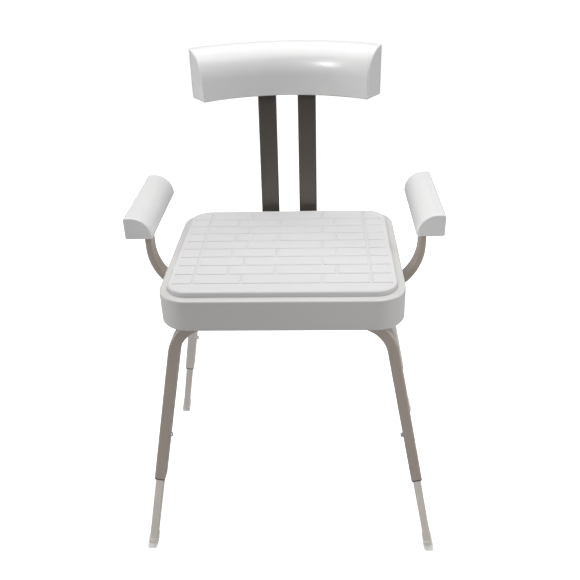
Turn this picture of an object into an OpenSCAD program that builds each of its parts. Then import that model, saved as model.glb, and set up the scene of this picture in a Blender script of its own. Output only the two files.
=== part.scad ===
// Height-adjustable shower stool with a back rest and arm rests. Millimetres, +Z up.
// Origin on the floor under the middle of the whole stool. The sitter faces -Y.
// Rest position: every leg at its longest, its button in the lowest hole of the row.

/* [Seat] */
// Width of the moulded seat tray
seat_w = 400; // [340:5:480]
// Depth of the seat tray, front to back
seat_d = 350; // [320:5:420]
// Height of the tray's skirt
seat_h = 55; // [48:1:66]
// Corner radius of the tray in plan
seat_r = 50; // [40:1:70]
// Height of the tray's lip above the floor with the legs at their longest
seat_z = 531; // [500:1:640]
// Wall thickness of the tray's skirt
tray_wall = 3.2; // [2.4:0.2:4.4]
// Thickness of the seat pad
pad_t = 14; // [10:1:20]
// Inset of the pad from the tray's outline
pad_inset = 14; // [10:1:20]
// Depth of the recess that holds the pad
pad_sink = 5; // [3:1:8]
// Spacing of the pad's rows of raised blocks
row_pitch = 31.6; // [26:0.4:38]
// Length of the middle blocks
block_w = 132; // [110:2:160]
// Width of the grooves between the blocks
groove_w = 5; // [3:0.5:7]
// Depth of the grooves
groove_deep = 1.2; // [0.6:0.1:2]

/* [Leg frames] */
// Width of the leg tube across the stool
tube_w = 19; // [18:0.5:23]
// Depth of the leg tube, front to back
tube_d = 29; // [28:0.5:35]
// Wall thickness of the leg tube
tube_wall = 1.3; // [1:0.1:2]
// Radius of the tube's rounded edges
tube_r = 3.2; // [2:0.2:5]
// Bend radius of the leg frames at the tube's centre line
bend_r = 66; // [55:1:90]
// Distance from the tray's side in to the start of the leg bends
bend_in = 84; // [70:1:100]
// Sideways splay of the legs
splay = 10.8; // [6:0.2:14]
// Forward rake of the front legs
rake_front = 4.2; // [0:0.2:10]
// Backward rake of the rear legs
rake_rear = 15; // [6:0.5:18]
// Distance of the front cross bar behind the tray's front edge
front_bar_in = 24; // [22:1:45]
// Distance of the rear cross bar ahead of the tray's rear edge
rear_bar_in = 82; // [60:1:95]
// Length of each leg below the end of its outer tube
tail = 170.4; // [150:0.2:200]

/* [Height adjustment] */
// Spacing of the height holes
hole_pitch = 30; // [20:1:30]
// Number of height holes in each leg
hole_count = 5; // [3:1:5]
// Diameter of the height holes
hole_dia = 8.2; // [7:0.1:10]
// Diameter of the locking button
button_dia = 7.4; // [6:0.1:9]
// Height of the lowest hole above the end of the outer tube
hole_up = 92; // [60:1:100]
// How far the button is pressed in to let the leg slide
button_push = 6.5; // [6:0.5:7]
// Width of the sliding leg tube
ext_w = 14; // [12:0.5:17]
// Depth of the sliding leg tube
ext_d = 24; // [20:0.5:32]
// Wall thickness of the sliding leg tube
ext_wall = 1.4; // [1:0.1:2]
// Running clearance of the sliding leg tube in its guides, each side
slide_gap = 0.2; // [0.15:0.05:0.4]
// Height of the rubber foot on the leg
foot_h = 22; // [18:1:30]
// Rubber thickness round the leg tube
foot_wall = 2; // [1.5:0.25:3]

/* [Back rest] */
// Width of the flat tube of the back posts
post_w = 35; // [28:1:42]
// Distance of each back post from the middle
post_x = 38; // [32:1:60]
// Backward lean of the back posts
post_lean = 8; // [5:0.5:9]
// Bend radius of the back posts at the tube's centre line
post_bend_r = 51; // [43:1:62]
// How far the posts run forward of the seat's middle
rail_reach = 50; // [45:5:90]
// Height of the back rest's lower edge above the tray's lip
back_rise = 221; // [180:1:270]
// Height of the back rest
back_h = 91; // [76:1:100]
// Depth of the back rest, front to back
back_deep = 49; // [46:1:54]
// Radius of the back rest's front face in plan
back_r = 271; // [240:1:320]
// Angle the back rest spans
back_span = 67; // [50:1:80]
// Wall thickness of the moulded rests
rest_wall = 2.8; // [2:0.2:4]

/* [Arm rests] */
// Thickness of the flat tube of the arms and posts
flat_t = 12; // [10:0.5:14]
// Width of the flat tube of the arms
arm_w = 30; // [24:1:36]
// Wall thickness of the flat tubes
flat_wall = 1.5; // [1:0.1:2]
// Gap between the tray's side and each upright arm tube
arm_gap = 34; // [28:1:60]
// Position of the arm tubes along the seat, behind the middle
arm_y = 5; // [-8:1:20]
// Bend radius of the arm tubes at the tube's centre line
arm_bend_r = 94; // [74:1:95]
// Height of the underside of the arm rests above the tray's lip
arm_rise = 41; // [34:1:110]
// Width of the arm rests
rest_w = 47.5; // [44:0.5:60]
// Height of the arm rests
rest_h = 40; // [36:1:50]
// Length of the arm rests
rest_len = 211; // [160:1:260]
// How far each arm rest reaches inwards from its tube
rest_reach = 8.5; // [6:0.5:14]
// Distance of the arm rests' front end ahead of the seat's middle
rest_front = 33; // [25:1:80]

/* [Hidden] */

$fn = 48;
FRONT = 0;
REAR = 1;
LEFT = -1;
RIGHT = 1;

TRAY = [0.80, 0.80, 0.79];
PAD = [0.88, 0.88, 0.87];
WHITE = [0.95, 0.95, 0.94];
TAUPE = [0.52, 0.47, 0.42];
SILVER = [0.72, 0.71, 0.70];
DARK = [0.12, 0.12, 0.12];
STEEL = [0.66, 0.67, 0.68];
BRASS = [0.75, 0.62, 0.35];
RUBBER = [0.86, 0.86, 0.84];

// A tube's section draws in a little through its bends, and its straight runs reach over the bends' ends
draw_in = 0.05;
weld = 1;
// Fit of a moulding round a tube
fit_gap = 0.2;
// Fixings
bolt_d = 6;
screw_d = 5;
self_tap_d = 4;
insert_d = 8;
insert_h = 12;
boss_wall = 3;

// Seat
tray_floor = 4;
floor_under = seat_z - pad_sink - tray_floor;
pad_w = seat_w - 2*pad_inset;
pad_len = seat_d - 2*pad_inset;
pad_z = seat_z - pad_sink;
row_count = floor((pad_len - 61.5)/row_pitch) + 1;

// Leg frames
bar_z = seat_z - seat_h + 6;
front_y = front_bar_in - seat_d/2;
rear_y = seat_d/2 - rear_bar_in;
bar_half = seat_w/2 - bend_in;
in_w = tube_w - 2*tube_wall;
in_d = tube_d - 2*tube_wall;
saddle_x = 75;
saddle_w = 40;
saddle_d = tube_d + 15;
saddle_top = floor_under - 16;

// Posts and arms under the seat
post_top = bar_z - tube_w/2 - 5.5;
post_z = post_top - flat_t/2;
rail_bolt_y = 15 - rail_reach;
post_bend_y = seat_d/2 - 20;
post_cz = post_z + post_bend_r;
arm_top = post_top - flat_t;
arm_cz = arm_top - flat_t/2;
arm_x = seat_w/2 + arm_gap + flat_t/2;
arm_z = seat_z + arm_rise;
arm_bend_x = arm_x - arm_bend_r;
arm_bend_z = arm_cz + arm_bend_r;
arm_boss_x = arm_bend_x - 28;
arm_in = 12;

// Back rest
back_z = seat_z + back_rise;
back_grip = 48;
post_len = (back_z + back_grip - post_cz + post_bend_r*sin(post_lean))/cos(post_lean);
post_in = 30.5;
back_cy = post_y(back_z + back_grip/2) - post_in - back_r;
back_arc = 55;
back_arc_z = back_z + back_h - sqrt(pow(back_arc, 2) - pow(back_arc - back_deep, 2));
end_wall = 0.6;
cover_t = 3;
cover_gap = 1.6;

// Arm rests
rest_in = arm_x - flat_t/2 - rest_reach;
rest_edge = 5;
rest_screw_x = rest_in + rest_w - 15;
rest_screw_ys = [arm_y + 55, rest_len - rest_front - 30];

// Height adjustment
button_h = tail + hole_up;
button_out = 4.6;
ext_in = ext_w/2 - ext_wall;
button_shank = tube_w/2 + button_out - ext_in + 0.3;
ext_foot = 9;
ext_top = button_h + 25;

// Middle of the whole stool, from the front feet to the back rest, behind the middle of the seat
mid_y = (back_cy + back_r + back_deep + front_y - bar_z*tan(rake_front) - ext_d/2 - foot_wall)/2;

function tilt(fr) = fr == FRONT ? -rake_front : rake_rear;
function bar_y(fr) = fr == FRONT ? front_y : rear_y;
function leg_len(fr) =
    (bar_z - cos(tilt(fr))*bend_r*(1 - sin(splay)))/(cos(splay)*cos(tilt(fr)));
function saddle_y0(fr) = bar_y(fr) - (fr == FRONT ? 0.43 : 0.64)*saddle_d;
function row_y(k) = pad_len/2 - 41.5 - k*row_pitch;
function post_y(z) =
    post_bend_y + post_bend_r*cos(post_lean) + (z - post_cz + post_bend_r*sin(post_lean))*tan(post_lean);

// ---- shared shapes ----

// Rounded rectangle centred on the origin
module rrect(w, h, r) {
    square([w - 2*r, h], center = true);
    square([w, h - 2*r], center = true);
    for (x = [-1, 1])
        for (y = [-1, 1])
            translate([x*(w/2 - r), y*(h/2 - r)])
                circle(r);
}

// Sweeps a (radius, height) profile round a rounded rectangle; the profile's radius r is the outline
module ring(w, d, r) {
    for (i = [0:3])
        translate([(i == 0 || i == 3 ? 1 : -1)*(w/2 - r), (i < 2 ? 1 : -1)*(d/2 - r), 0])
            rotate([0, 0, i*90])
                rotate_extrude(angle = 90)
                    children();
    for (s = [0, 180])
        rotate([0, 0, s]) {
            translate([w/2 - r, d/2 - r, 0])
                rotate([90, 0, 0])
                    linear_extrude(d - 2*r)
                        children();
            translate([r - w/2, d/2 - r, 0])
                rotate([90, 0, 90])
                    linear_extrude(w - 2*r)
                        children();
        }
}

// Rectangle from x0 to x1, z0 to z1, its outer corners rounded by rb below and rt above
module edge_profile(x0, x1, z0, z1, rb, rt) {
    difference() {
        translate([x0, z0])
            square([x1 - x0, z1 - z0]);
        if (rb > 0)
            translate([x1 - rb, z0 - 1])
                square([rb + 1, rb + 1]);
        if (rt > 0)
            translate([x1 - rt, z1 - rt])
                square([rt + 1, rt + 1]);
    }
    if (rb > 0)
        translate([x1 - rb, z0 + rb])
            circle(rb);
    if (rt > 0)
        translate([x1 - rt, z1 - rt])
            circle(rt);
}

// Frames of reference: cross bar, leg (z along the leg, x outwards), foot (z from the floor)
module at_bar(fr) {
    translate([0, bar_y(fr), bar_z])
        rotate([tilt(fr), 0, 0])
            children();
}

module at_leg(fr, side) {
    mirror([side < 0 ? 1 : 0, 0, 0])
        at_bar(fr)
            translate([bar_half + bend_r*cos(splay), 0, bend_r*(sin(splay) - 1)])
                rotate([0, -splay, 0])
                    children();
}

module at_foot(fr, side) {
    at_leg(fr, side)
        translate([0, 0, -leg_len(fr)])
            children();
}

// Inverted U of a leg frame, section w by d with edge radius r; the legs run on by extra
module frame_path(fr, w, d, r, extra) {
    at_bar(fr)
        rotate([90, 0, 90])
            translate([0, 0, -bar_half - weld])
                linear_extrude(2*bar_half + 2*weld)
                    rrect(d, w, r);
    for (side = [LEFT, RIGHT]) {
        mirror([side < 0 ? 1 : 0, 0, 0])
            at_bar(fr)
                translate([bar_half, 0, -bend_r])
                    rotate([90, 0, 0])
                        rotate([0, 0, splay])
                            rotate_extrude(angle = 90 - splay)
                                translate([bend_r, 0])
                                    rrect(w - 2*draw_in, d - 2*draw_in, r);
        at_foot(fr, side)
            translate([0, 0, tail - extra])
                linear_extrude(leg_len(fr) - tail + extra + weld)
                    rrect(w, d, r);
    }
}

// Back post: flat tube along Y under the seat, bent upwards behind it
module post_path(w, t, r, extra) {
    translate([0, -rail_reach - extra, post_z])
        rotate([-90, 0, 0])
            linear_extrude(post_bend_y + rail_reach + extra + weld)
                rrect(w, t, r);
    translate([0, post_bend_y, post_cz])
        rotate([0, 90, 0])
            rotate_extrude(angle = 90 - post_lean)
                translate([post_bend_r, 0])
                    rrect(t - 2*draw_in, w - 2*draw_in, r);
    translate([0, post_bend_y, post_cz])
        rotate([-post_lean, 0, 0])
            translate([0, post_bend_r, -weld])
                linear_extrude(post_len + extra + weld)
                    rrect(w, t, r);
}

// Arm tube, right side: from the arm rest down, round the bend and in under the seat
module arm_path(w, t, r, extra) {
    translate([arm_x, arm_y, arm_bend_z - weld])
        linear_extrude(arm_z + 16 - arm_bend_z + extra + weld)
            rrect(t, w, r);
    translate([arm_bend_x, arm_y, arm_bend_z])
        rotate([90, 0, 0])
            rotate([0, 0, -90])
                rotate_extrude(angle = 90)
                    translate([arm_bend_r, 0])
                        rrect(t - 2*draw_in, w - 2*draw_in, r);
    translate([arm_in - extra, arm_y, arm_cz])
        rotate([90, 0, 90])
            linear_extrude(arm_bend_x - arm_in + extra + weld)
                rrect(w, t, r);
}

// Button-head bolt, its head below z = 0
module bolt(len) {
    cylinder(h = len, d = bolt_d);
    difference() {
        translate([0, 0, -3.3])
            rotate_extrude()
                polygon([[0, 0], [3.6, 0], [4.6, 0.5], [5.2, 1.4], [5.4, 2.4], [5.4, 3.3], [0, 3.3]]);
        translate([0, 0, -3.4])
            cylinder(h = 2.1, d = 4.2, $fn = 6);
    }
}

// Countersunk screw, its head below z = 0
module small_screw(len) {
    cylinder(h = len, d = self_tap_d);
    difference() {
        translate([0, 0, -2.2])
            cylinder(h = 2.2, r1 = 2.8, r2 = 3.8);
        translate([0, 0, -2.3])
            cylinder(h = 1.6, d = 2.4, $fn = 6);
    }
}

// ---- seat ----

// Hollow boss under the tray floor with a core for a threaded insert
module tray_boss(x, y, w, d, z) {
    h = floor_under - z + 0.5;
    translate([x, y, z]) {
        difference() {
            translate([-w/2, -d/2, 0])
                cube([w, d, h]);
            translate([boss_wall - w/2, boss_wall - d/2, boss_wall])
                cube([w - 2*boss_wall, d - 2*boss_wall, h]);
        }
        cylinder(h = h, d = insert_d + 5);
    }
}

module seat_tray() {
    r = seat_r;
    color(TRAY)
        difference() {
            union() {
                ring(seat_w, seat_d, r) {
                    // skirt
                    edge_profile(r - tray_wall, r, seat_z - seat_h, seat_z - 3.5, 2, 0);
                    // lip
                    edge_profile(r - pad_inset + 0.5, r, seat_z - 3.5, seat_z, 0, 3);
                    // wall and floor of the pad recess
                    translate([r - pad_inset + 0.5, floor_under])
                        square([3, pad_sink + tray_floor - 1]);
                    translate([0, floor_under])
                        square([r - pad_inset + 1, tray_floor]);
                }
                translate([r - seat_w/2 - 0.01, r - seat_d/2 - 0.01, floor_under])
                    cube([seat_w - 2*r + 0.02, seat_d - 2*r + 0.02, tray_floor]);
                // ribs under the floor
                for (x = [70 - seat_w/2, -20, 20, seat_w/2 - 70])
                    translate([x - 1.25, 2 - seat_d/2, floor_under - 10])
                        cube([2.5, seat_d - 4, 10.5]);
                for (y = [front_y + 61, 0, seat_d/2 - 35])
                    translate([2 - seat_w/2, y - 1.25, floor_under - 10])
                        cube([seat_w - 4, 2.5, 10.5]);
                // pads that the frame saddles bear on
                for (fr = [FRONT, REAR])
                    for (x = [-saddle_x, saddle_x])
                        translate([x - saddle_w/2, saddle_y0(fr), saddle_top])
                            cube([saddle_w, saddle_d, floor_under - saddle_top + 0.5]);
                for (side = [LEFT, RIGHT]) {
                    tray_boss(side*post_x, rail_bolt_y, post_w, 30, post_top);
                    tray_boss(side*arm_boss_x, arm_y, 30, arm_w, arm_top);
                }
            }
            for (fr = [FRONT, REAR])
                for (x = [-saddle_x, saddle_x])
                    at_bar(fr)
                        translate([x, 0, 0])
                            cylinder(h = saddle_top - bar_z + 11, d = screw_d);
            for (side = [LEFT, RIGHT]) {
                translate([side*post_x, rail_bolt_y, post_top - 1])
                    cylinder(h = insert_h + 4, d = insert_d);
                translate([side*arm_boss_x, arm_y, arm_top - 1])
                    cylinder(h = insert_h + 4, d = insert_d);
            }
            // drain slots in the recess floor
            for (x = [-60, 60])
                for (y = [-60, 45])
                    translate([x, y, floor_under - 1])
                        linear_extrude(tray_floor + 2)
                            rrect(24, 5, 2.4);
        }
}

// Moulded pad with rows of raised blocks
module seat_pad() {
    r = seat_r - pad_inset;
    side_joint = pad_w/2 - 41;
    even_joints = [-side_joint, -block_w/2, block_w/2, side_joint];
    odd_joints = [-side_joint, -block_w/2 - 24, -12, block_w/2 + 24, side_joint];
    color(PAD)
        difference() {
            union() {
                ring(pad_w, pad_len, r)
                    edge_profile(0, r, pad_z, pad_z + pad_t, 0, 3);
                translate([r - pad_w/2 - 0.01, r - pad_len/2 - 0.01, pad_z])
                    cube([pad_w - 2*r + 0.02, pad_len - 2*r + 0.02, pad_t]);
            }
            // long grooves in front of each row
            for (k = [0:row_count - 1])
                translate([8 - pad_w/2, row_y(k) - groove_w/2, pad_z + pad_t - groove_deep])
                    cube([pad_w - 16, groove_w, 5]);
            // joints between the blocks of each row
            for (k = [0:row_count - 1])
                for (x = k % 2 == 0 ? even_joints : odd_joints)
                    translate([x - groove_w/2, row_y(k), pad_z + pad_t - groove_deep])
                        cube([groove_w, row_pitch - 1, 5]);
        }
}

// Threaded inserts in the tray's bosses
module seat_inserts() {
    color(BRASS)
        for (side = [LEFT, RIGHT])
            for (p = [[post_x, rail_bolt_y, post_top], [arm_boss_x, arm_y, arm_top]])
                translate([side*p[0], p[1], p[2]])
                    difference() {
                        cylinder(h = insert_h, d = insert_d);
                        translate([0, 0, -1])
                            cylinder(h = insert_h + 2, d = bolt_d);
                    }
}

// ---- leg frames ----

module leg_frame(fr) {
    color(TAUPE)
        difference() {
            frame_path(fr, tube_w, tube_d, tube_r, 0);
            frame_path(fr, in_w, in_d, tube_r - tube_wall, 1);
            // height holes in the inner face of each leg
            for (side = [LEFT, RIGHT])
                for (k = [0:hole_count - 1])
                    at_foot(fr, side)
                        translate([-tube_w, 0, button_h + k*hole_pitch])
                            rotate([0, 90, 0])
                                cylinder(h = tube_w, d = hole_dia);
            // seat screws: access below, clearance above
            for (x = [-saddle_x, saddle_x])
                at_bar(fr)
                    translate([x, 0, 0]) {
                        cylinder(h = tube_w, d = screw_d + 2*fit_gap);
                        translate([0, 0, -tube_w])
                            cylinder(h = tube_w, d = 11);
                    }
            // nuts for the post bolts
            if (fr == REAR)
                for (x = [-post_x, post_x])
                    translate([x, rear_y, post_top])
                        cylinder(h = bar_z - post_top, d = bolt_d + 3);
        }
}

// Moulded saddles between the cross bars and the tray
module bar_saddles() {
    color(DARK)
        for (fr = [FRONT, REAR])
            difference() {
                for (x = [-saddle_x, saddle_x])
                    translate([x - saddle_w/2, saddle_y0(fr), bar_z - 4])
                        cube([saddle_w, saddle_d, saddle_top - bar_z + 4]);
                frame_path(fr, tube_w, tube_d, tube_r, 0);
                for (x = [-saddle_x, saddle_x])
                    at_bar(fr)
                        translate([x, 0, 0])
                            cylinder(h = 60, d = screw_d + 2*fit_gap);
            }
}

// Screws from inside the cross bars up into the tray
module seat_screws() {
    color(STEEL)
        for (fr = [FRONT, REAR])
            for (x = [-saddle_x, saddle_x])
                at_bar(fr)
                    translate([x, 0, in_w/2]) {
                        cylinder(h = saddle_top - bar_z - in_w/2 + 6, d = screw_d);
                        difference() {
                            translate([0, 0, -3.2])
                                cylinder(h = 3.2, d = 9.4);
                            translate([0, 0, -3.3])
                                cylinder(h = 1.9, d = 3.6, $fn = 6);
                        }
                    }
}

// ---- back posts ----

// Spacers that seat the posts on the round-edged rear cross bar
module post_spacers() {
    color(DARK)
        difference() {
            for (x = [-post_x, post_x])
                translate([x - post_w/2, rear_y - tube_d/2, post_top])
                    cube([post_w, tube_d, tube_w/2]);
            frame_path(REAR, tube_w, tube_d, tube_r, 0);
            for (x = [-post_x, post_x])
                translate([x, rear_y, post_top - 1])
                    cylinder(h = 20, d = bolt_d + 3);
        }
}

module back_post(side) {
    color(TAUPE)
        difference() {
            translate([side*post_x, 0, 0])
                post_path(post_w, flat_t, 3, 0);
            translate([side*post_x, 0, 0])
                post_path(post_w - 2*flat_wall, flat_t - 2*flat_wall, 3 - flat_wall, 1);
            for (y = [rail_bolt_y, arm_y, rear_y])
                translate([side*post_x, y, arm_top - 1])
                    cylinder(h = flat_t + 2, d = bolt_d + 2*fit_gap);
            for (z = [12, 36])
                translate([side*post_x, 0, back_z + z])
                    rotate([-90, 0, 0])
                        cylinder(h = 400, d = self_tap_d + 2*fit_gap);
        }
}

// Bolts up through the posts, into the tray's bosses and the rear cross bar
module post_bolts() {
    color(STEEL)
        for (x = [-post_x, post_x]) {
            translate([x, rail_bolt_y, arm_top])
                bolt(flat_t + insert_h + 2);
            translate([x, rear_y, arm_top])
                bolt(bar_z - arm_top);
        }
}

// Blind nuts set in the rear cross bar
module bar_nuts() {
    color(STEEL)
        for (x = [-post_x, post_x])
            translate([x, rear_y, post_top])
                difference() {
                    cylinder(h = bar_z - post_top, d = bolt_d + 3);
                    translate([0, 0, -1])
                        cylinder(h = bar_z - post_top + 2, d = bolt_d);
                }
}

// End plugs in the front ends of the posts
module post_plugs() {
    color(DARK)
        for (x = [-post_x, post_x])
            translate([x, -rail_reach, post_z])
                rotate([90, 0, 0]) {
                    linear_extrude(2.5)
                        rrect(post_w, flat_t, 3);
                    translate([0, 0, -10])
                        linear_extrude(10)
                            rrect(post_w - 2*flat_wall, flat_t - 2*flat_wall, 3 - flat_wall);
                }
}

// ---- back rest ----

// Section of the back rest in (radius, height): upright front, quarter-round top
module back_section(o) {
    intersection() {
        translate([back_r + o, back_z + o])
            square([back_deep - o + (o > 0 ? 1 : 0), back_h - o]);
        union() {
            translate([back_r, back_z])
                square([back_deep + 1, back_arc_z - back_z]);
            translate([back_r + back_arc, back_arc_z])
                circle(back_arc - o, $fn = 96);
        }
    }
}

module back_sweep(a) {
    translate([0, back_cy, 0])
        rotate([0, 0, 90 - a/2])
            rotate_extrude(angle = a)
                children();
}

// Bores along Y for the back screws
module back_bores(d) {
    for (x = [-post_x, post_x])
        for (z = [12, 36])
            translate([x, 0, back_z + z])
                rotate([-90, 0, 0])
                    cylinder(h = 400, d = d);
}

module back_shell() {
    color(WHITE)
        difference() {
            back_sweep(back_span)
                back_section(0);
            back_sweep(back_span - 2*end_wall)
                back_section(rest_wall);
            for (x = [-post_x, post_x])
                translate([x, 0, 0])
                    post_path(post_w + 2*fit_gap, flat_t + 2*fit_gap, 3 + fit_gap, 0);
        }
}

module back_cover() {
    color(WHITE)
        difference() {
            back_sweep(back_span - 2*end_wall)
                translate([back_r + back_deep - cover_t, back_z + rest_wall])
                    square([cover_t, back_h - 2*rest_wall - cover_gap]);
            back_bores(self_tap_d + 2*fit_gap);
        }
}

// Moulded blocks inside the back rest that grip the posts
module back_sockets() {
    color(DARK)
        difference() {
            intersection() {
                for (x = [-post_x, post_x])
                    translate([x - post_w/2 - 4, 0, back_z + rest_wall])
                        cube([post_w + 8, 400, back_grip - 2]);
                back_sweep(back_span - 2)
                    translate([back_r + back_deep - cover_t - 38, back_z])
                        square([38, back_grip + 10]);
            }
            for (x = [-post_x, post_x])
                translate([x, 0, 0])
                    post_path(post_w, flat_t, 3, 1);
            back_bores(self_tap_d + 2*fit_gap);
        }
}

// Screws through the cover and the posts
module back_screws() {
    y = back_cy + sqrt(pow(back_r + back_deep, 2) - pow(post_x - 4, 2)) + 0.1;
    color(STEEL)
        for (x = [-post_x, post_x])
            for (z = [12, 36])
                translate([x, y, back_z + z])
                    rotate([90, 0, 0])
                        small_screw(34);
}

// ---- arms ----

module arm_tube(side) {
    color(TAUPE)
        mirror([side < 0 ? 1 : 0, 0, 0])
            difference() {
                arm_path(arm_w, flat_t, 3, 0);
                arm_path(arm_w - 2*flat_wall, flat_t - 2*flat_wall, 3 - flat_wall, 1);
                for (x = [post_x, arm_boss_x])
                    translate([x, arm_y, arm_cz - flat_t])
                        cylinder(h = 2*flat_t, d = bolt_d + 2*fit_gap);
                translate([arm_x, arm_y, arm_z + 9])
                    rotate([0, 90, 0])
                        cylinder(h = flat_t, d = self_tap_d);
            }
}

// Bolts through both tubes where they cross, and up into the tray's side bosses
module arm_bolts() {
    color(STEEL)
        for (side = [LEFT, RIGHT]) {
            translate([side*post_x, arm_y, arm_top - flat_t])
                bolt(2*flat_t + 7);
            translate([side*arm_boss_x, arm_y, arm_top - flat_t])
                bolt(flat_t + insert_h + 2);
        }
}

module arm_nuts() {
    color(STEEL)
        for (side = [LEFT, RIGHT])
            translate([side*post_x, arm_y, post_top])
                difference() {
                    cylinder(h = 5, d = 11, $fn = 6);
                    translate([0, 0, -1])
                        cylinder(h = 7, d = bolt_d);
                }
}

// End plugs in the inner ends of the arm tubes
module arm_plugs() {
    color(DARK)
        for (side = [LEFT, RIGHT])
            mirror([side < 0 ? 1 : 0, 0, 0])
                translate([arm_in, arm_y, arm_cz])
                    rotate([90, 0, -90]) {
                        linear_extrude(2.5)
                            rrect(arm_w, flat_t, 3);
                        translate([0, 0, -9])
                            linear_extrude(9)
                                rrect(arm_w - 2*flat_wall, flat_t - 2*flat_wall, 3 - flat_wall);
                    }
}

// Section of the arm rest in (x, z), right side: quarter-round inner side, upright outer side
module rest_section(o) {
    arc = rest_h - rest_edge;
    intersection() {
        translate([rest_in + o, arm_z - (o > 0 ? 1 : 0)])
            square([rest_w - 2*o, rest_h - o + (o > 0 ? 1 : 0)]);
        union() {
            translate([rest_in, arm_z - 1])
                square([rest_w, rest_edge + 1]);
            translate([rest_in + arc, arm_z + rest_edge])
                circle(arc - o, $fn = 96);
            translate([rest_in + arc, arm_z])
                square([rest_w - arc, rest_h - rest_edge]);
            translate([rest_in + arc, arm_z])
                square([rest_w - arc - rest_edge, rest_h]);
            translate([rest_in + rest_w - rest_edge, arm_z + rest_h - rest_edge])
                circle(rest_edge - o);
        }
    }
}

module arm_rest(side) {
    color(WHITE)
        mirror([side < 0 ? 1 : 0, 0, 0]) {
            difference() {
                translate([0, rest_len - rest_front, 0])
                    rotate([90, 0, 0])
                        linear_extrude(rest_len)
                            rest_section(0);
                translate([0, rest_len - rest_front - rest_wall, 0])
                    rotate([90, 0, 0])
                        linear_extrude(rest_len - 2*rest_wall)
                            rest_section(rest_wall);
            }
            // screw posts
            for (y = rest_screw_ys)
                translate([rest_screw_x, y, arm_z + 3])
                    difference() {
                        cylinder(h = rest_h - 3 - rest_wall + 0.5, d = self_tap_d + 5);
                        translate([0, 0, -1])
                            cylinder(h = 16, d = self_tap_d);
                    }
        }
}

// Plate that closes the arm rest below and grips the tube
module arm_base(side) {
    color(WHITE)
        mirror([side < 0 ? 1 : 0, 0, 0])
            difference() {
                union() {
                    translate([rest_in + rest_wall, rest_wall - rest_front, arm_z])
                        cube([rest_w - 2*rest_wall, rest_len - 2*rest_wall, 3]);
                    translate([arm_x - flat_t/2 - 4, arm_y - arm_w/2 - 4, arm_z])
                        cube([flat_t + 8, arm_w + 8, 15]);
                }
                arm_path(arm_w, flat_t, 3, 1);
                translate([arm_x, arm_y, arm_z + 9])
                    rotate([0, 90, 0])
                        cylinder(h = 20, d = self_tap_d);
                for (y = rest_screw_ys)
                    translate([rest_screw_x, y, arm_z - 1])
                        cylinder(h = 6, d = self_tap_d + 2*fit_gap);
            }
}

// Screws that hold each base on its tube
module arm_clamp_screws() {
    color(STEEL)
        for (side = [LEFT, RIGHT])
            mirror([side < 0 ? 1 : 0, 0, 0])
                translate([arm_x + flat_t/2 + 4, arm_y, arm_z + 9])
                    rotate([0, -90, 0])
                        small_screw(flat_t/2 + 6);
}

module arm_rest_screws() {
    color(STEEL)
        for (side = [LEFT, RIGHT])
            for (y = rest_screw_ys)
                translate([side*rest_screw_x, y, arm_z])
                    small_screw(16);
}

// ---- sliding legs ----

// Plastic collar that guides the sliding leg in the outer tube's end
module collar(fr, side) {
    color(DARK)
        at_foot(fr, side)
            difference() {
                union() {
                    translate([0, 0, tail - 2.5])
                        linear_extrude(2.5)
                            rrect(tube_w, tube_d, tube_r);
                    translate([0, 0, tail])
                        linear_extrude(20)
                            rrect(in_w, in_d, tube_r - tube_wall);
                }
                translate([0, 0, tail - 5])
                    linear_extrude(30)
                        rrect(ext_w + 2*slide_gap, ext_d + 2*slide_gap, 2 + slide_gap);
            }
}

// Sliding leg tube
module leg(fr, side) {
    color(SILVER)
        at_foot(fr, side)
            difference() {
                translate([0, 0, ext_foot])
                    linear_extrude(ext_top - ext_foot)
                        rrect(ext_w, ext_d, 2);
                translate([0, 0, ext_foot - 1])
                    linear_extrude(ext_top - ext_foot + 2)
                        rrect(ext_w - 2*ext_wall, ext_d - 2*ext_wall, 0.8);
                translate([-ext_w, 0, button_h])
                    rotate([0, 90, 0])
                        cylinder(h = ext_w, d = button_dia + 2*fit_gap);
            }
}

// Plastic guide on the sliding leg's upper end
module guide(fr, side) {
    color(DARK)
        at_foot(fr, side) {
            translate([0, 0, ext_top])
                linear_extrude(5)
                    rrect(in_w - 2*slide_gap, in_d - 2*slide_gap, 1.6);
            translate([0, 0, ext_top - 8])
                linear_extrude(8)
                    rrect(ext_w - 2*ext_wall, ext_d - 2*ext_wall, 0.8);
        }
}

// Bent leaf spring behind the button
module spring(fr, side) {
    strip = 0.8;
    ro = (ext_in + 3)/2;
    cx = ext_in - ro;
    color(STEEL)
        at_foot(fr, side)
            translate([0, 4, button_h])
                rotate([90, 0, 0])
                    linear_extrude(8) {
                        translate([ext_in - strip, -28])
                            square([strip, 38]);
                        translate([cx - ro, -7])
                            square([strip, 17]);
                        translate([cx, 10])
                            difference() {
                                circle(ro);
                                circle(ro - strip);
                                translate([-10, -20])
                                    square([20, 20]);
                            }
                    }
}

// Locking button: domed cap, shank and flange
module button(fr, side) {
    color(STEEL)
        at_foot(fr, side)
            translate([-tube_w/2 - button_out, 0, button_h])
                rotate([0, 90, 0])
                    rotate_extrude()
                        polygon([[0, 0], [1.8, 0.25], [2.9, 0.9], [3.5, 1.9], [button_dia/2, 3.2],
                            [button_dia/2, button_shank], [5, button_shank],
                            [5, button_shank + 2.1], [0, button_shank + 2.1]]);
}

// Rubber foot, cut level with the floor
module foot(fr, side) {
    color(RUBBER)
        difference() {
            at_foot(fr, side)
                difference() {
                    translate([0, 0, -12])
                        linear_extrude(12 + foot_h)
                            rrect(ext_w + 2*foot_wall, ext_d + 2*foot_wall, 4);
                    translate([0, 0, ext_foot])
                        linear_extrude(foot_h)
                            rrect(ext_w, ext_d, 2);
                }
            translate([-500, -500, -100])
                cube([1000, 1000, 100]);
        }
}

// ---- assembly ----

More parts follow.
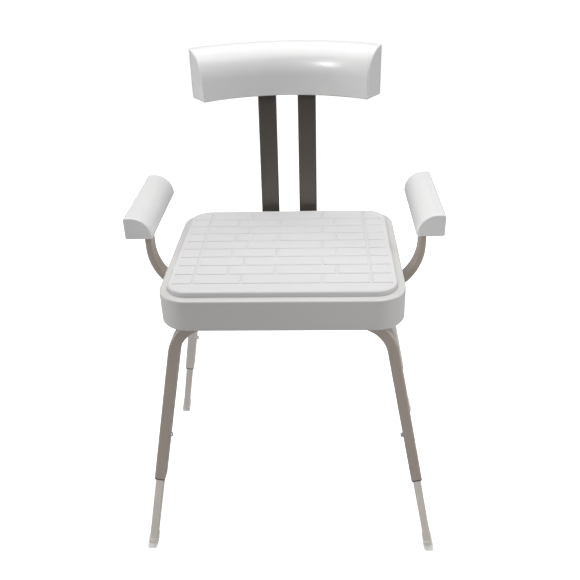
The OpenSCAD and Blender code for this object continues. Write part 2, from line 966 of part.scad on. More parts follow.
// Each piece is drawn about the seat's middle, and placed about the stool's
module placed() {
    translate([0, -mid_y, 0])
        children();
}

placed() seat_tray();
placed() seat_pad();
placed() seat_inserts();
placed() leg_frame(FRONT);  // front_leg_frame
placed() leg_frame(REAR);  // rear_leg_frame
placed() bar_saddles();
placed() seat_screws();
placed() post_spacers();
placed() back_post(LEFT);  // back_post_left
placed() back_post(RIGHT);  // back_post_right
placed() post_bolts();
placed() bar_nuts();
placed() post_plugs();
placed() back_shell();
placed() back_cover();
placed() back_sockets();
placed() back_screws();
placed() arm_tube(LEFT);  // arm_tube_left
placed() arm_tube(RIGHT);  // arm_tube_right
placed() arm_bolts();
placed() arm_nuts();
placed() arm_plugs();
placed() arm_rest(LEFT);  // arm_rest_left
placed() arm_rest(RIGHT);  // arm_rest_right
placed() arm_base(LEFT);  // arm_base_left
placed() arm_base(RIGHT);  // arm_base_right
placed() arm_clamp_screws();
placed() arm_rest_screws();
placed() collar(FRONT, LEFT);  // collar_fl
placed() collar(FRONT, RIGHT);  // collar_fr
placed() collar(REAR, LEFT);  // collar_rl
placed() collar(REAR, RIGHT);  // collar_rr
placed() leg(FRONT, LEFT);  // leg_fl
placed() leg(FRONT, RIGHT);  // leg_fr
placed() leg(REAR, LEFT);  // leg_rl
placed() leg(REAR, RIGHT);  // leg_rr
placed() guide(FRONT, LEFT);  // guide_fl
placed() guide(FRONT, RIGHT);  // guide_fr
placed() guide(REAR, LEFT);  // guide_rl
placed() guide(REAR, RIGHT);  // guide_rr
placed() spring(FRONT, LEFT);  // spring_fl
placed() spring(FRONT, RIGHT);  // spring_fr
placed() spring(REAR, LEFT);  // spring_rl
placed() spring(REAR, RIGHT);  // spring_rr
placed() button(FRONT, LEFT);  // button_fl
placed() button(FRONT, RIGHT);  // button_fr
placed() button(REAR, LEFT);  // button_rl
placed() button(REAR, RIGHT);  // button_rr
placed() foot(FRONT, LEFT);  // foot_fl
placed() foot(FRONT, RIGHT);  // foot_fr
placed() foot(REAR, LEFT);  // foot_rl
placed() foot(REAR, RIGHT);  // foot_rr
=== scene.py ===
# %% [markdown]
# # A shower stool with a back rest and arm rests
# The metal work, the screws and everything that moves come finished from the CAD model, which
# is loaded here as a fixed frame. Blender adds what CAD is slow at: the soft raised pattern of
# the pad, the rounded mouldings of the back rest and the arm rests, the rubber feet, and a
# finish for every piece. Lengths are in metres, and z = 0 is the bathroom floor.

# %% Load the frame
import math

import bmesh
import bpy
from mathutils import Matrix, Vector


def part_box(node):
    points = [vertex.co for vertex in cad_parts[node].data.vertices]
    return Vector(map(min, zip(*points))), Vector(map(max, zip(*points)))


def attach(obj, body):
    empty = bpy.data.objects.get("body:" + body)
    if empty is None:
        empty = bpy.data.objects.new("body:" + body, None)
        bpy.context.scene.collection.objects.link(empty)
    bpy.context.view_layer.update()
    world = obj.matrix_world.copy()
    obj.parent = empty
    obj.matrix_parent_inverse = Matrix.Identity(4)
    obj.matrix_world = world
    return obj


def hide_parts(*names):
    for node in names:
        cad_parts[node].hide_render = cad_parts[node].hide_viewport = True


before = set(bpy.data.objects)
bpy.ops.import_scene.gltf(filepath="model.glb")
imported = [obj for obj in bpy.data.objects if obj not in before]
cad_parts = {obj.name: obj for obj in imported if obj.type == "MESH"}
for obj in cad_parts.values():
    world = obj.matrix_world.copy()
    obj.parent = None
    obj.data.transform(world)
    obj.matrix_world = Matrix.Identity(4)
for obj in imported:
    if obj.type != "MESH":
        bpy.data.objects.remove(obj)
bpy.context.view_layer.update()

# %% [markdown]
# Every new piece ends the same way: its bmesh becomes an object at the origin, its faces are
# smooth except across real corners, and it rides on a CAD body. The Weighted Normal modifier
# lets large flat faces set the shading, so that the light turns only on the narrow bevels, as
# it does on a real moulding. Doing this in one helper keeps the pieces alike.

# %% A helper that turns a bmesh into a piece
SAME_POINT = 1e-6               # two points closer than a thousandth of a millimetre are one
REAL_CORNER = math.radians(40)  # the shading stays sharp across edges that turn more than this


def make_piece(name, bm, material, body, stands_for):
    bmesh.ops.remove_doubles(bm, verts=bm.verts, dist=SAME_POINT)
    bmesh.ops.recalc_face_normals(bm, faces=bm.faces)
    if bm.calc_volume(signed=True) < 0:
        bmesh.ops.reverse_faces(bm, faces=bm.faces)
    mesh = bpy.data.meshes.new(name)
    bm.to_mesh(mesh)
    bm.free()
    mesh.materials.append(material)
    mesh.polygons.foreach_set("use_smooth", [True]*len(mesh.polygons))
    mesh.set_sharp_from_angle(angle=REAL_CORNER)
    piece = bpy.data.objects.new(name, mesh)
    bpy.context.scene.collection.objects.link(piece)
    shading = piece.modifiers.new("flat faces lead", "WEIGHTED_NORMAL")
    shading.keep_sharp = True
    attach(piece, body)
    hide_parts(*stands_for)
    print(name, len(mesh.polygons), "faces")
    return piece


# %% [markdown]
# Two effects are used by several finishes, so each is a node group, built once. The first is
# the grain of a moulded or painted surface: a fine noise for the bump, and a slow, faint one
# for the small changes of shade and gloss that keep a real surface from looking like paint on
# a screen. It reads Object coordinates, which are metres here, so its scale is a real one.
# Three short helpers come first: one opens a group, one adds a sum and one adds a noise.

# %% The grain group
def new_group(name, inputs, outputs):
    group = bpy.data.node_groups.new(name, "ShaderNodeTree")
    for title, kind, value in inputs:
        made = group.interface.new_socket(name=title, in_out="INPUT", socket_type=kind)
        if value is not None:
            made.default_value = value
    for title, kind in outputs:
        group.interface.new_socket(name=title, in_out="OUTPUT", socket_type=kind)
    return group, group.nodes.new("NodeGroupInput"), group.nodes.new("NodeGroupOutput")


def math_node(tree, operation, a, b, clamp=False):
    node = tree.nodes.new("ShaderNodeMath")
    node.operation = operation
    node.use_clamp = clamp
    for socket, value in zip(node.inputs, (a, b)):
        if isinstance(value, (int, float)):
            socket.default_value = value
        else:
            tree.links.new(value, socket)
    return node.outputs[0]


def noise_node(tree, place, scale, detail, rough=0.5):
    node = tree.nodes.new("ShaderNodeTexNoise")
    node.inputs["Detail"].default_value = detail
    node.inputs["Roughness"].default_value = rough
    tree.links.new(place, node.inputs["Vector"])
    if isinstance(scale, (int, float)):
        node.inputs["Scale"].default_value = scale
    else:
        tree.links.new(scale, node.inputs["Scale"])
    return node.outputs["Fac"]


FINE_SHARE = 0.3  # how much of the shade follows the fine noise; the slow one has the rest

GRAIN, grain_in, grain_out = new_group(
    "surface_grain",
    [("Vector", "NodeSocketVector", None), ("Fine", "NodeSocketFloat", 900.0),
     ("Slow", "NodeSocketFloat", 9.0), ("Spread", "NodeSocketFloat", 0.1),
     ("Gloss", "NodeSocketFloat", 0.35), ("Dark", "NodeSocketColor", (0.7, 0.7, 0.7, 1)),
     ("Light", "NodeSocketColor", (0.8, 0.8, 0.8, 1))],
    [("Color", "NodeSocketColor"), ("Roughness", "NodeSocketFloat"),
     ("Height", "NodeSocketFloat")])
asked = grain_in.outputs
fine = noise_node(GRAIN, asked["Vector"], asked["Fine"], detail=2.0)
slow = noise_node(GRAIN, asked["Vector"], asked["Slow"], detail=4.0, rough=0.6)
shade = GRAIN.nodes.new("ShaderNodeMix")
shade.data_type = "RGBA"
GRAIN.links.new(math_node(GRAIN, "ADD", math_node(GRAIN, "MULTIPLY", fine, FINE_SHARE),
                          math_node(GRAIN, "MULTIPLY", slow, 1 - FINE_SHARE)),
                shade.inputs["Factor"])
GRAIN.links.new(asked["Dark"], shade.inputs["A"])
GRAIN.links.new(asked["Light"], shade.inputs["B"])
swing = math_node(GRAIN, "MULTIPLY", math_node(GRAIN, "SUBTRACT", slow, 0.5), asked["Spread"])
gloss = math_node(GRAIN, "ADD", asked["Gloss"], swing, clamp=True)
GRAIN.links.new(shade.outputs["Result"], grain_out.inputs["Color"])
GRAIN.links.new(gloss, grain_out.inputs["Roughness"])
GRAIN.links.new(fine, grain_out.inputs["Height"])
print("group", GRAIN.name)

# %% [markdown]
# The second group is drawn metal: a tube that was pulled through a die has hair lines along
# its length. Noise squeezed hard across the tube and stretched along it gives them. The legs
# lean by only a few degrees, so stretching along z is close enough for them.

# %% The drawn-metal group
DRAWN, drawn_in, drawn_out = new_group(
    "drawn_lines",
    [("Vector", "NodeSocketVector", None), ("Across", "NodeSocketFloat", 900.0),
     ("Along", "NodeSocketFloat", 14.0)],
    [("Height", "NodeSocketFloat")])
stretch = DRAWN.nodes.new("ShaderNodeVectorMath")
stretch.operation = "MULTIPLY"
sizes = DRAWN.nodes.new("ShaderNodeCombineXYZ")
for axis, way in (("X", "Across"), ("Y", "Across"), ("Z", "Along")):
    DRAWN.links.new(drawn_in.outputs[way], sizes.inputs[axis])
DRAWN.links.new(drawn_in.outputs["Vector"], stretch.inputs[0])
DRAWN.links.new(sizes.outputs[0], stretch.inputs[1])
hair_lines = noise_node(DRAWN, stretch.outputs[0], 1.0, detail=3.0, rough=0.6)
DRAWN.links.new(hair_lines, drawn_out.inputs["Height"])
print("group", DRAWN.name)

# %% [markdown]
# A finish is a material with the grain group feeding its colour, gloss and bump. What is the
# same all over, such as how much clear coat there is, is set on the shader itself. The colours
# are the grain's darkest and lightest, fine and slow are how many grains go in a metre, and
# depth is the height of the grain in metres. Drawn tube adds its hair lines to that height.

# %% The recipe for a finish
def finish(name, dark, light, gloss, spread=0.1, fine=900.0, slow=9.0, bump=0.15, depth=0.0002,
           metal=0.0, coat=0.0, coat_gloss=0.1, drawn=0.0, **uniform):
    mat = bpy.data.materials.new(name)
    mat.use_nodes = True
    tree = mat.node_tree
    shader = tree.nodes["Principled BSDF"]
    place = tree.nodes.new("ShaderNodeTexCoord").outputs["Object"]
    grain = tree.nodes.new("ShaderNodeGroup")
    grain.node_tree = GRAIN
    tree.links.new(place, grain.inputs["Vector"])
    for socket, value in (("Fine", fine), ("Slow", slow), ("Spread", spread), ("Gloss", gloss),
                          ("Dark", (*dark, 1)), ("Light", (*light, 1))):
        grain.inputs[socket].default_value = value
    tree.links.new(grain.outputs["Color"], shader.inputs["Base Color"])
    tree.links.new(grain.outputs["Roughness"], shader.inputs["Roughness"])
    height = grain.outputs["Height"]
    if drawn:
        lines = tree.nodes.new("ShaderNodeGroup")
        lines.node_tree = DRAWN
        tree.links.new(place, lines.inputs["Vector"])
        lines_height = math_node(tree, "MULTIPLY", lines.outputs["Height"], drawn)
        height = math_node(tree, "ADD", height, lines_height)
    relief = tree.nodes.new("ShaderNodeBump")
    relief.inputs["Strength"].default_value = bump
    relief.inputs["Distance"].default_value = depth
    tree.links.new(height, relief.inputs["Height"])
    tree.links.new(relief.outputs["Normal"], shader.inputs["Normal"])
    shader.inputs["Metallic"].default_value = metal
    shader.inputs["Coat Weight"].default_value = coat
    shader.inputs["Coat Roughness"].default_value = coat_gloss
    for socket, value in uniform.items():
        shader.inputs[socket.replace("_", " ")].default_value = value
    return mat


# %% [markdown]
# The mouldings are white plastic: the tray has a fine spark grain, the rests are smoother and
# shinier, and the arm rests come from a slightly whiter batch than the back rest. The frame
# wears a satin taupe paint with a little metal in it. The rear legs wear a much lighter copy of
# it, which is painted light, and the back posts a much darker copy, which is painted shade.
# The sliding legs are bare anodised tube, the fixings are plated steel and brass, and the feet
# are milky rubber that lets some light in.

# %% The finishes of the mouldings and the metal
tray_white = finish("tray_white", (0.60, 0.592, 0.578), (0.62, 0.612, 0.598), 0.30,
                    spread=0.03, fine=1100.0, slow=30.0, bump=0.05, depth=0.0001)
back_white = finish("back_white", (0.64, 0.637, 0.635), (0.66, 0.657, 0.655), 0.32,
                    spread=0.04, fine=1100.0, slow=30.0, bump=0.04, coat=0.4, coat_gloss=0.22)
arm_white = finish("arm_white", (0.71, 0.707, 0.705), (0.73, 0.727, 0.725), 0.26,
                   spread=0.04, fine=1100.0, slow=30.0, bump=0.04, coat=0.3, coat_gloss=0.12)
taupe_paint = finish("taupe_paint", (0.42, 0.365, 0.320), (0.47, 0.415, 0.365), 0.34,
                     fine=1800.0, bump=0.2, metal=0.25, coat=0.15, coat_gloss=0.2)
# painted shade: the back posts wear the frame's taupe paint made almost black, standing in for the
# shade on them
post_paint = finish("post_paint", (0.080, 0.070, 0.060), (0.100, 0.088, 0.076), 0.36,
                    fine=1800.0, bump=0.2, metal=0.5, coat=0.15, coat_gloss=0.2)
# painted light: the rear legs wear the frame's taupe paint made much lighter, standing in for the
# light that falls on them
rear_legs_painted_light = finish("rear_legs_painted_light", (0.76, 0.72, 0.685), (0.80, 0.76, 0.72), 0.34,
                    fine=1800.0, bump=0.15, metal=0.2, coat=0.15, coat_gloss=0.2)
bare_tube = finish("bare_tube", (0.80, 0.745, 0.69), (0.86, 0.80, 0.745), 0.32,
                   bump=0.2, metal=0.4, drawn=1.2)
bright_steel = finish("bright_steel", (0.46, 0.45, 0.43), (0.58, 0.57, 0.55), 0.25,
                      fine=2500.0, metal=1.0)
zinc_plate = finish("zinc_plate", (0.44, 0.44, 0.43), (0.56, 0.56, 0.55), 0.36,
                    fine=2200.0, slow=60.0, metal=0.95)
brass = finish("brass", (0.55, 0.40, 0.18), (0.66, 0.50, 0.24), 0.35,
               fine=2000.0, slow=80.0, metal=0.95)
dark_plastic = finish("dark_plastic", (0.045, 0.043, 0.040), (0.065, 0.062, 0.058), 0.5,
                      fine=1500.0, bump=0.3)
milky_rubber = finish("milky_rubber", (0.88, 0.88, 0.875), (0.95, 0.95, 0.945), 0.34,
                      fine=700.0, bump=0.2, Transmission_Weight=0.4, IOR=1.35, Alpha=0.6)
print("finishes", len(bpy.data.materials))

# %% [markdown]
# Each CAD node keeps its shape and takes one of these finishes. The names in this table are
# the first words of the nodes' names, so a left and a right piece share an entry. Where two
# entries fit, as "arm_rest" and "arm_rest_screws" can, the longer one counts.

# %% Give every CAD node its finish
NODE_FINISH = {
    # the seat and its fixings
    "seat_tray": tray_white, "seat_pad": tray_white,
    "seat_inserts": brass, "seat_screws": zinc_plate,
    # the two leg frames
    "front_leg_frame": taupe_paint, "rear_leg_frame": rear_legs_painted_light, "bar_saddles": dark_plastic,
    # the back
    "back_post": post_paint, "post_spacers": dark_plastic, "post_bolts": zinc_plate,
    "bar_nuts": zinc_plate, "post_plugs": dark_plastic, "back_shell": back_white,
    "back_cover": back_white, "back_sockets": dark_plastic, "back_screws": zinc_plate,
    # the arms
    "arm_tube": taupe_paint, "arm_bolts": zinc_plate, "arm_nuts": zinc_plate,
    "arm_plugs": dark_plastic, "arm_rest": arm_white, "arm_base": arm_white,
    "arm_clamp_screws": zinc_plate, "arm_rest_screws": zinc_plate,
    # the sliding legs
    "collar": dark_plastic, "leg": bare_tube, "guide": dark_plastic,
    "spring": bright_steel, "button": bright_steel, "foot": milky_rubber,
}
for name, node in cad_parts.items():
    entries = [k for k in NODE_FINISH if name == k or name.startswith(k + "_")]
    node.data.materials.clear()
    node.data.materials.append(NODE_FINISH[max(entries, key=len)])
print("CAD nodes", len(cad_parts))

# %% [markdown]
# The pad is a soft foam skin moulded in rows of low raised blocks, like bricks, so that water
# runs off between them. It could be a displaced plane, but the blocks have crisp walls. So its
# top starts as one rounded rectangle, planes cut it along every groove, and the cut strips are
# pushed down. This keeps each block one clean face. The joints of every second row are moved
# sideways, as a bricklayer would, and a plain border stays all round.

# %% Cut the pad's top into blocks and grooves
pad_low, pad_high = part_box("seat_pad")
PAD = (pad_low + pad_high)/2
PAD_W, PAD_LEN, PAD_T = pad_high - pad_low
PAD_CORNER = 0.036     # radius of the pad's corners
ROWS, ROW = 9, 0.0316  # the long grooves, and the step from one to the next
FIRST_ROW = 0.0415     # from the rear edge to the first long groove
ROW_GAP = 0.001        # how far the rearmost blocks stop short of a whole step
GROOVE, DEEP = 0.005, 0.0012  # width and depth of a groove
BORDER = 0.008         # the plain strip round the blocks
CUT_CLOSE = 1e-7       # a point this close to a cutting plane lies on it
row_lines = [PAD_LEN/2 - FIRST_ROW - k*ROW for k in range(ROWS)]
# where the joints between the blocks are, in every other row
EVEN = [-0.145, -0.066, 0.066, 0.145]
ODD = [-0.145, -0.090, -0.012, 0.090, 0.145]


def verts_of(geom):
    return [g for g in geom if isinstance(g, bmesh.types.BMVert)]


def rounded_sheet(width, length, corner, segments):
    bm = bmesh.new()
    bmesh.ops.create_grid(bm, x_segments=1, y_segments=1, size=0.5)
    bmesh.ops.scale(bm, vec=(width, length, 1), verts=bm.verts)
    bmesh.ops.bevel(bm, geom=bm.verts[:], offset=corner, segments=segments, profile=0.5,
                    affect="VERTICES", material=-1)
    return bm


def cut(bm, faces, point, normal):
    geom = list({g for f in faces for g in (*f.verts, *f.edges)}) + faces
    bmesh.ops.bisect_plane(bm, geom=geom, dist=CUT_CLOSE, plane_co=point, plane_no=normal)


def faces_in(bm, x0, x1, y0, y1):
    found = []
    for f in bm.faces:
        c = f.calc_center_bounds()
        if x0 < c.x < x1 and y0 < c.y < y1:
            found.append(f)
    return found


def block_plan():
    """The pad's top as one flat sheet cut along its grooves, and the list of groove faces."""
    bm = rounded_sheet(PAD_W, PAD_LEN, PAD_CORNER, 14)
    half, side = GROOVE/2, PAD_W/2 - BORDER
    rear_end = row_lines[0] + ROW - ROW_GAP
    # each long groove with the front and the rear end of its row, and the row's joints
    rows = [(y, y + half, rear_end if k == 0 else row_lines[k - 1] - half, ODD if k % 2 else EVEN)
            for k, y in enumerate(row_lines)]
    for y in row_lines:
        for edge in (y - half, y + half):
            cut(bm, bm.faces[:], (0, edge, 0), (0, 1, 0))
    cut(bm, bm.faces[:], (0, rear_end, 0), (0, 1, 0))
    for y, front, rear, joints in rows:
        for x in (-side, side):
            cut(bm, faces_in(bm, -1, 1, y - half, front), (x, 0, 0), (1, 0, 0))
        for x in joints:
            for edge in (x - half, x + half):
                cut(bm, faces_in(bm, -1, 1, front, rear), (edge, 0, 0), (1, 0, 0))
    grooves = []
    for y, front, rear, joints in rows:
        grooves += faces_in(bm, -side, side, y - half, front)
        for x in joints:
            grooves += faces_in(bm, x - half, x + half, front, rear)
    return bm, grooves


plan, grooves = block_plan()
print("pad plan", len(plan.faces), "faces,", len(grooves), "of them grooves")

# %% [markdown]
# Now the grooves sink, the outline drops to make the pad's edge, and every long edge is
# rounded: the outer edge like a thumb, the groove edges only a little, as foam skin does in a
# mould. Last, each inner block is inset and lifted by a sixth of a millimetre, which gives it
# the faint pillow shape that catches the light. The blocks at the two sides stay flat, because
# they run into the border.

# %% Sink the grooves, close the pad and round it
OUTER_R, LIP_R = 0.0032, 0.0009         # radius of the outer edge and of the grooves' edges
PILLOW_IN, PILLOW_UP = 0.0024, 0.00016  # how far a block's top is inset and lifted
SMALLEST_BLOCK = 5e-4                   # in square metres; the border's faces are smaller
STEEP = 1.0                             # in radians; where the surface turns less, it stays
IN_TOP = 1e-6                           # how near to the top plane a point of it has to be
LEVEL = 0.99                            # a face is level when its normal is this much upright


def round_edges(bm, edges, radius, segments):
    bmesh.ops.bevel(bm, geom=edges, offset=radius, segments=segments, profile=0.5,
                    affect="EDGES", material=-1)


def top_corners(bm):
    """The edges in the pad's top plane where the surface turns down steeply."""
    return [e for e in bm.edges if len(e.link_faces) == 2 and e.calc_face_angle() > STEEP
            and all(abs(v.co.z) < IN_TOP for v in e.verts)]


rim = [e for e in plan.edges if e.is_boundary]
sunk = bmesh.ops.extrude_face_region(plan, geom=grooves)["geom"]
bmesh.ops.delete(plan, geom=grooves, context="FACES_ONLY")  # or they would be lids on the grooves
bmesh.ops.translate(plan, vec=(0, 0, -DEEP), verts=verts_of(sunk))
skirt = bmesh.ops.extrude_edge_only(plan, edges=rim)["geom"]
bmesh.ops.translate(plan, vec=(0, 0, -PAD_T), verts=verts_of(skirt))
bmesh.ops.holes_fill(plan, edges=[e for e in plan.edges if e.is_boundary], sides=0)
bmesh.ops.recalc_face_normals(plan, faces=plan.faces)
# the wall under the outline reaches much further down than the wall of a groove
outer = [e for e in top_corners(plan)
         if min(f.calc_center_bounds().z for f in e.link_faces) < -0.3*PAD_T]
round_edges(plan, outer, OUTER_R, 5)
round_edges(plan, top_corners(plan), LIP_R, 3)
blocks = []
for f in plan.faces:
    centre = f.calc_center_bounds()
    flat_top = f.normal.z > LEVEL and abs(centre.z) < IN_TOP
    in_rows = row_lines[-1] < centre.y < row_lines[0] + ROW - 2*ROW_GAP
    between_ends = max(abs(v.co.x) for v in f.verts) < EVEN[-1]
    if flat_top and in_rows and between_ends and f.calc_area() > SMALLEST_BLOCK:
        blocks.append(f)
bmesh.ops.inset_individual(plan, faces=blocks, thickness=PILLOW_IN, depth=PILLOW_UP)
bmesh.ops.translate(plan, vec=(PAD.x, PAD.y, pad_high.z), verts=plan.verts)
print("pad blocks", len(blocks))

# %% [markdown]
# The skin of the pad is dull and slightly rubbery, with the tiny pebbles of a sand-blasted
# mould. Cells from a Voronoi texture make the pebbles. The floor of the grooves is painted a
# shade darker, as painted shade for the light that reaches less far into them. That painted
# shade is read from the height above the groove floor, which is an Object coordinate.

# %% The pad's finish
GROOVE_PAINTED_SHADE = 0.97  # how dark the painted shade on a groove's floor is, next to a block
PEBBLES = 850.0      # in a metre


def pad_skin():
    mat = finish("pad_skin", (0.625, 0.616, 0.621), (0.65, 0.641, 0.646), 0.56,
                 spread=0.08, slow=40.0, bump=0.25, depth=0.0003, Sheen_Weight=0.05)
    tree = mat.node_tree
    shader = tree.nodes["Principled BSDF"]
    place = tree.nodes["Texture Coordinate"].outputs["Object"]
    grain = shader.inputs["Base Color"].links[0].from_node
    level = tree.nodes.new("ShaderNodeSeparateXYZ")
    tree.links.new(place, level.inputs[0])
    painted_shade_ramp = tree.nodes.new("ShaderNodeMapRange")
    tree.links.new(level.outputs["Z"], painted_shade_ramp.inputs["Value"])
    for socket, value in (("From Min", pad_high.z - DEEP), ("From Max", pad_high.z - 0.2*DEEP),
                          ("To Min", GROOVE_PAINTED_SHADE), ("To Max", 1.0)):
        painted_shade_ramp.inputs[socket].default_value = value
    # painted shade: the groove floors are multiplied darker by their depth, in place of the shade
    # that falls into the grooves
    painted_shade_tint = tree.nodes.new("ShaderNodeMix")
    painted_shade_tint.data_type = "RGBA"
    painted_shade_tint.blend_type = "MULTIPLY"
    painted_shade_tint.inputs["Factor"].default_value = 1.0
    tree.links.new(grain.outputs["Color"], painted_shade_tint.inputs["A"])
    tree.links.new(painted_shade_ramp.outputs["Result"], painted_shade_tint.inputs["B"])
    tree.links.new(painted_shade_tint.outputs["Result"], shader.inputs["Base Color"])
    pebbles = tree.nodes.new("ShaderNodeTexVoronoi")
    pebbles.inputs["Scale"].default_value = PEBBLES
    tree.links.new(place, pebbles.inputs["Vector"])
    relief = shader.inputs["Normal"].links[0].from_node
    tree.links.new(pebbles.outputs["Distance"], relief.inputs["Height"])
    return mat


pad = make_piece("seat_pad_blocks", plan, pad_skin(), "seat", ["seat_pad"])

# %% [markdown]
# The back rest is a hollow moulding bent round the user's back: upright below, rolling away at
# the top. In section it is a few straight lines and one arc. A small pen helper draws that
# section from one vertex, with extrude for the lines and spin for the arc, and one more spin
# sweeps the face round. That is how the real tool's cavity was cut, so the ends come out true.
# A second helper rounds every edge that is sharper than a given angle.

# %% A pen that draws a section
class Pen:
    def __init__(self, bm, point):
        self.bm = bm
        self.first = self.at = bm.verts.new(point)

    def line(self, step):
        made = bmesh.ops.extrude_vert_indiv(self.bm, verts=[self.at])["verts"]
        bmesh.ops.translate(self.bm, vec=step, verts=made)
        self.at = made[0]

    def arc(self, centre, axis, angle, steps):
        made = bmesh.ops.spin(self.bm, geom=[self.at], cent=centre, axis=axis, dvec=(0, 0, 0),
                              angle=angle, steps=steps)
        self.at = verts_of(made["geom_last"])[0]

    def close(self):
        self.bm.edges.new((self.at, self.first))
        return bmesh.ops.contextual_create(self.bm, geom=self.bm.edges[:])["faces"][0]


def soften(bm, radius, segments, corner=35):
    """Rounds every edge that turns by more than corner degrees, and says how many."""
    bmesh.ops.recalc_face_normals(bm, faces=bm.faces)
    sharp = [e for e in bm.edges if len(e.link_faces) == 2
             and e.calc_face_angle() > math.radians(corner)]
    round_edges(bm, sharp, radius, segments)
    return len(sharp)


# %% [markdown]
# The rear of the moulding is a shallow tray with a separate cover screwed into it, so a rim
# stands round the cover. The rear faces are inset by the wall and pushed in, which leaves the
# cover from CAD lying in its seat. Nothing shows behind that cover, so the piece made here
# stays solid inside. Every sharp edge gets a radius of 2.6 mm, enough for the bright line that
# runs round the ends.

# %% The back rest moulding
rest_low, rest_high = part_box("back_shell")
BACK_R, BACK_DEEP = 0.271, 0.049  # radius of the front face, and from there to the rear face
BACK_ARC = 0.055                  # radius of the roll at the top
BACK_SPAN = math.radians(67)      # how far the rest reaches round the user
BACK_EDGE = 0.0026                # radius of its sharp edges
WALL = 0.0028                     # thickness of the moulding's wall
COVER_SEAT = 0.0034               # how deep the cover lies
ON_REAR = 0.0006                  # a face this close to the rear radius is part of the rear
arc_y = rest_high.y - BACK_R - BACK_DEEP
rise = math.sqrt(BACK_ARC**2 - (BACK_ARC - BACK_DEEP)**2)
roll = math.acos((BACK_ARC - BACK_DEEP)/BACK_ARC)
straight = rest_high.z - rest_low.z - rise

back = bmesh.new()
pen = Pen(back, (0, arc_y + BACK_R, rest_low.z))
pen.line((0, 0, straight))
pen.arc((0, arc_y + BACK_R + BACK_ARC, rest_low.z + straight), (1, 0, 0), -roll, steps=24)
pen.line((0, 0, -(straight + rise)))
section = pen.close()
bmesh.ops.rotate(back, cent=(0, arc_y, 0), matrix=Matrix.Rotation(-BACK_SPAN/2, 3, "Z"),
                 verts=back.verts)
bmesh.ops.spin(back, geom=[section], cent=(0, arc_y, 0), axis=(0, 0, 1), dvec=(0, 0, 0),
               angle=BACK_SPAN, steps=56)
bmesh.ops.recalc_face_normals(back, faces=back.faces)
rear = []
for f in back.faces:
    centre = f.calc_center_median()
    from_rear = math.hypot(centre.x, centre.y - arc_y) - (BACK_R + BACK_DEEP)
    upright = abs(f.normal.z) < 0.1
    if abs(from_rear) < ON_REAR and upright and len(f.verts) == 4:
        rear.append(f)
bmesh.ops.inset_region(back, faces=rear, thickness=WALL, depth=0.0)
for v in {v for f in rear for v in f.verts}:
    v.co -= COVER_SEAT*Vector((v.co.x, v.co.y - arc_y, 0)).normalized()
print("back rest edges rounded", soften(back, BACK_EDGE, 4))
make_piece("back_rest_moulding", back, back_white, "seat", ["back_shell"])

# %% [markdown]
# An arm rest is the same kind of moulding, straight instead of bent: a quarter round towards
# the arm rest's inner side, a small radius outside, and a flat underside with a base plate
# pressed into it. The section is drawn once for each side and pushed back along the arm.

# %% The arm rests
REST_EDGE = 0.005   # the small outer radius, and the upright step under the quarter round
REST_END = 0.0024   # radius of its sharp edges
BASE_SEAT = 0.0032  # how deep the base plate lies


def arm_rest(side, name, node):
    low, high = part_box(node)
    inner, outer = (low.x, high.x) if side > 0 else (high.x, low.x)
    tall, length = high.z - low.z, high.y - low.y
    arc = tall - REST_EDGE
    bm = bmesh.new()
    pen = Pen(bm, (inner, low.y, low.z))
    pen.line((0, 0, REST_EDGE))
    quarter = side*math.pi/2
    pen.arc((inner + side*arc, low.y, low.z + REST_EDGE), (0, 1, 0), quarter, steps=20)
    pen.line((side*(abs(outer - inner) - arc - REST_EDGE), 0, 0))
    pen.arc((outer - side*REST_EDGE, low.y, high.z - REST_EDGE), (0, 1, 0), quarter, steps=6)
    pen.line((0, 0, -(tall - REST_EDGE)))
    made = bmesh.ops.extrude_face_region(bm, geom=[pen.close()])["geom"]
    bmesh.ops.translate(bm, vec=(0, length, 0), verts=verts_of(made))
    bmesh.ops.recalc_face_normals(bm, faces=bm.faces)
    under = [f for f in bm.faces if f.normal.z < -LEVEL]
    bmesh.ops.inset_region(bm, faces=under, thickness=WALL, depth=0)
    bmesh.ops.translate(bm, vec=(0, 0, BASE_SEAT), verts=list({v for f in under for v in f.verts}))
    print(name, "edges rounded", soften(bm, REST_END, 4))
    make_piece(name, bm, arm_white, "seat", [node])


arm_rest(-1, "arm_rest_moulding_left", "arm_rest_left")
arm_rest(1, "arm_rest_moulding_right", "arm_rest_right")

# %% [markdown]
# A foot is a rubber boot over the end of the sliding leg. Its axis leans with the leg, but its
# sole is level, so the boot is an upright rounded block that is turned to the leg's axis and
# then cut off at the floor. The rim round the tube and the sole's edge are rounded, and one
# shallow groove round the boot gives the fingers a grip.

# %% The rubber feet
SPLAY = math.radians(10.8)  # how far every leg leans out sideways
FRONT_LEAN, REAR_LEAN = math.radians(-4.2), math.radians(15)
FEET = {"fl": ("leg_fl", -1, FRONT_LEAN), "fr": ("leg_fr", 1, FRONT_LEAN),
        "rl": ("leg_rl", -1, REAR_LEAN), "rr": ("leg_rr", 1, REAR_LEAN)}
BOOT_W, BOOT_D, BOOT_CORNER, BOOT_R = 0.018, 0.028, 0.004, 0.0009
BELOW = 0.012  # how far below the floor the upright block starts
WAIST = 0.97   # how wide the boot is inside its groove, next to the rest of it
# each step up the boot, with how much wider or narrower it ends
BOOT_STEPS = ((BELOW + 0.0125, 1), (0.0008, WAIST), (0.0014, 1), (0.0008, 1/WAIST), (0.0065, 1))


